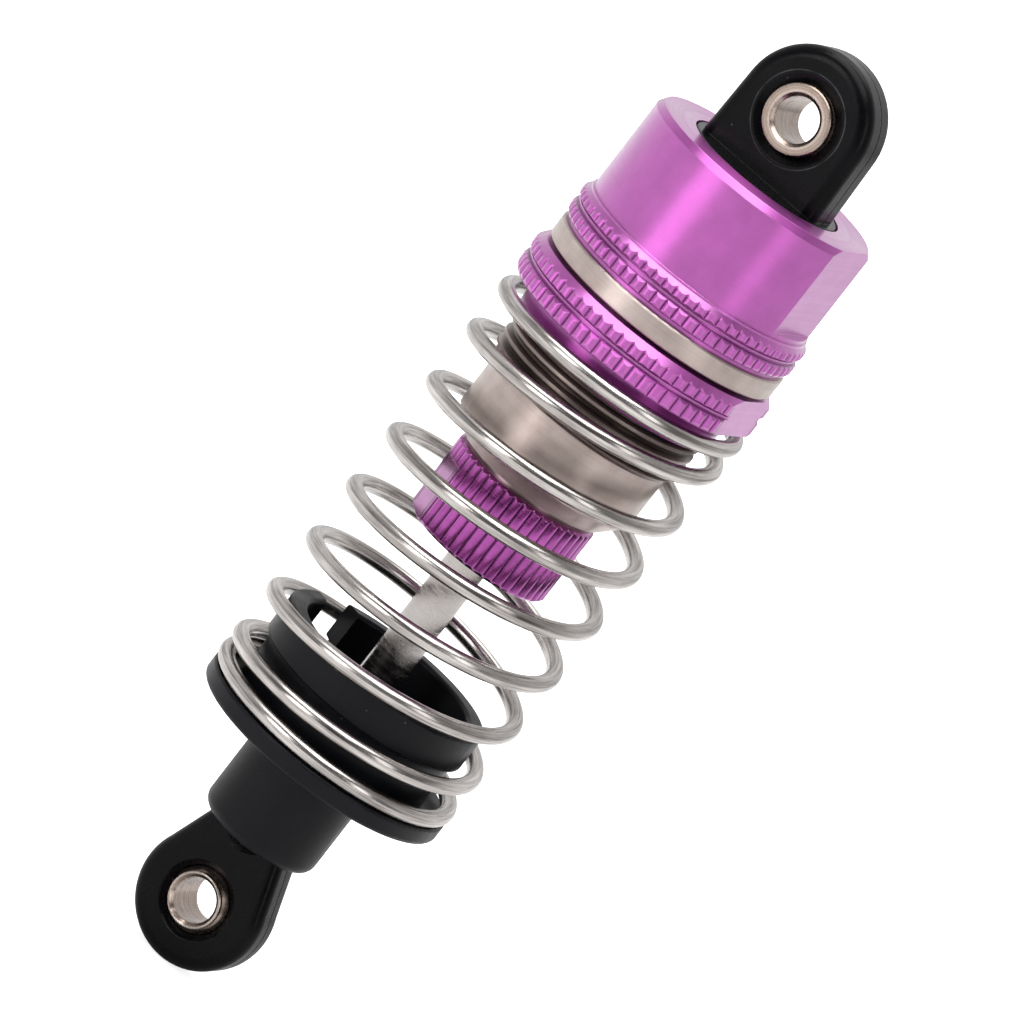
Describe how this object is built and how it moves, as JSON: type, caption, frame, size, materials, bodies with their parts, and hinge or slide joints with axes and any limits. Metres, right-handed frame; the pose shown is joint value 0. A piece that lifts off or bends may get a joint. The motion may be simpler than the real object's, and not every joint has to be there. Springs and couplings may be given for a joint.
{
  "type": "coilover shock absorber",
  "caption": "Small oil-filled coil-over shock absorber: ball-jointed eyes, threaded body with screw-down spring collar, sliding rod and slotted spring cup.",
  "frame": {"origin": "centre of the lower eye's bore, with the shock fully extended", "axes": "+Z along the shock from the lower eye to the upper eye, +Y along both eye bores, +X across the eyes"},
  "size_m": [0.0196, 0.0196, 0.0781],
  "materials": {
    "black_plastic": "moulded satin black plastic",
    "ball_steel": "nickel-plated steel, lightly polished",
    "purple_anodised": "turned aluminium, satin purple anodising",
    "grey_anodised": "turned aluminium, warm grey anodising",
    "spring_nickel": "nickel-plated spring wire",
    "rod_steel": "ground steel",
    "clip_steel": "oiled spring steel",
    "seal_rubber": "soft black rubber",
    "white_plastic": "natural white acetal"
  },
  "bodies": {
    "cylinder": {"top_eye": "black_plastic", "cap": "purple_anodised", "cap_oring": "seal_rubber", "bladder": "seal_rubber", "shock_body": "grey_anodised", "spring": "spring_nickel", "seal_cap": "purple_anodised", "rod_guide": "white_plastic", "rod_oring_upper": "seal_rubber", "oring_spacer": "white_plastic", "rod_oring_lower": "seal_rubber"},
    "top_pivot": {"top_ball": "ball_steel"},
    "piston": {"piston": "white_plastic"},
    "rod": {"piston_rod": "rod_steel", "piston_clip_upper": "clip_steel", "piston_clip_lower": "clip_steel", "rod_end": "black_plastic"},
    "spring_cup": {"spring_cup": "black_plastic"},
    "bottom_pivot": {"bottom_ball": "ball_steel"},
    "collar_carrier": {"adjuster_oring": "seal_rubber"},
    "adjuster_collar": {"adjuster_collar": "purple_anodised"}
  },
  "joints": [
    {"name": "rod_slide", "type": "slide", "parent": "cylinder", "child": "piston", "axis": [0, 0, 1], "range_m": [0, 0.014], "stiffness_N_per_m": 460, "springref_m": -0.004, "deforming": ["spring"]},
    {"name": "rod_spin", "type": "hinge", "parent": "piston", "child": "rod", "pos_m": [0, 0, 0.0408], "axis": [0, 0, 1], "continuous": true},
    {"name": "cup_turn", "type": "hinge", "parent": "rod", "child": "spring_cup", "pos_m": [0, 0, 0.013], "axis": [0, 0, 1], "continuous": true},
    {"name": "bottom_ball_swivel", "type": "hinge", "parent": "rod", "child": "bottom_pivot", "pos_m": [0, 0, 0], "axis": [0, 1, 0], "continuous": true},
    {"name": "top_ball_swivel", "type": "hinge", "parent": "cylinder", "child": "top_pivot", "pos_m": [0, 0, 0.068], "axis": [0, 1, 0], "continuous": true},
    {"name": "collar_travel", "type": "slide", "parent": "cylinder", "child": "collar_carrier", "axis": [0, 0, -1], "range_m": [0, 0.00344], "deforming": ["spring"]},
    {"name": "collar_turn", "type": "hinge", "parent": "collar_carrier", "child": "adjuster_collar", "pos_m": [0, 0, 0.0499], "axis": [0, 0, -1], "range_deg": [0, 1441]}
  ],
  "couplings": [
    {"joint": "collar_turn", "follows": "collar_travel", "rad_per_m": 7306}
  ]
}
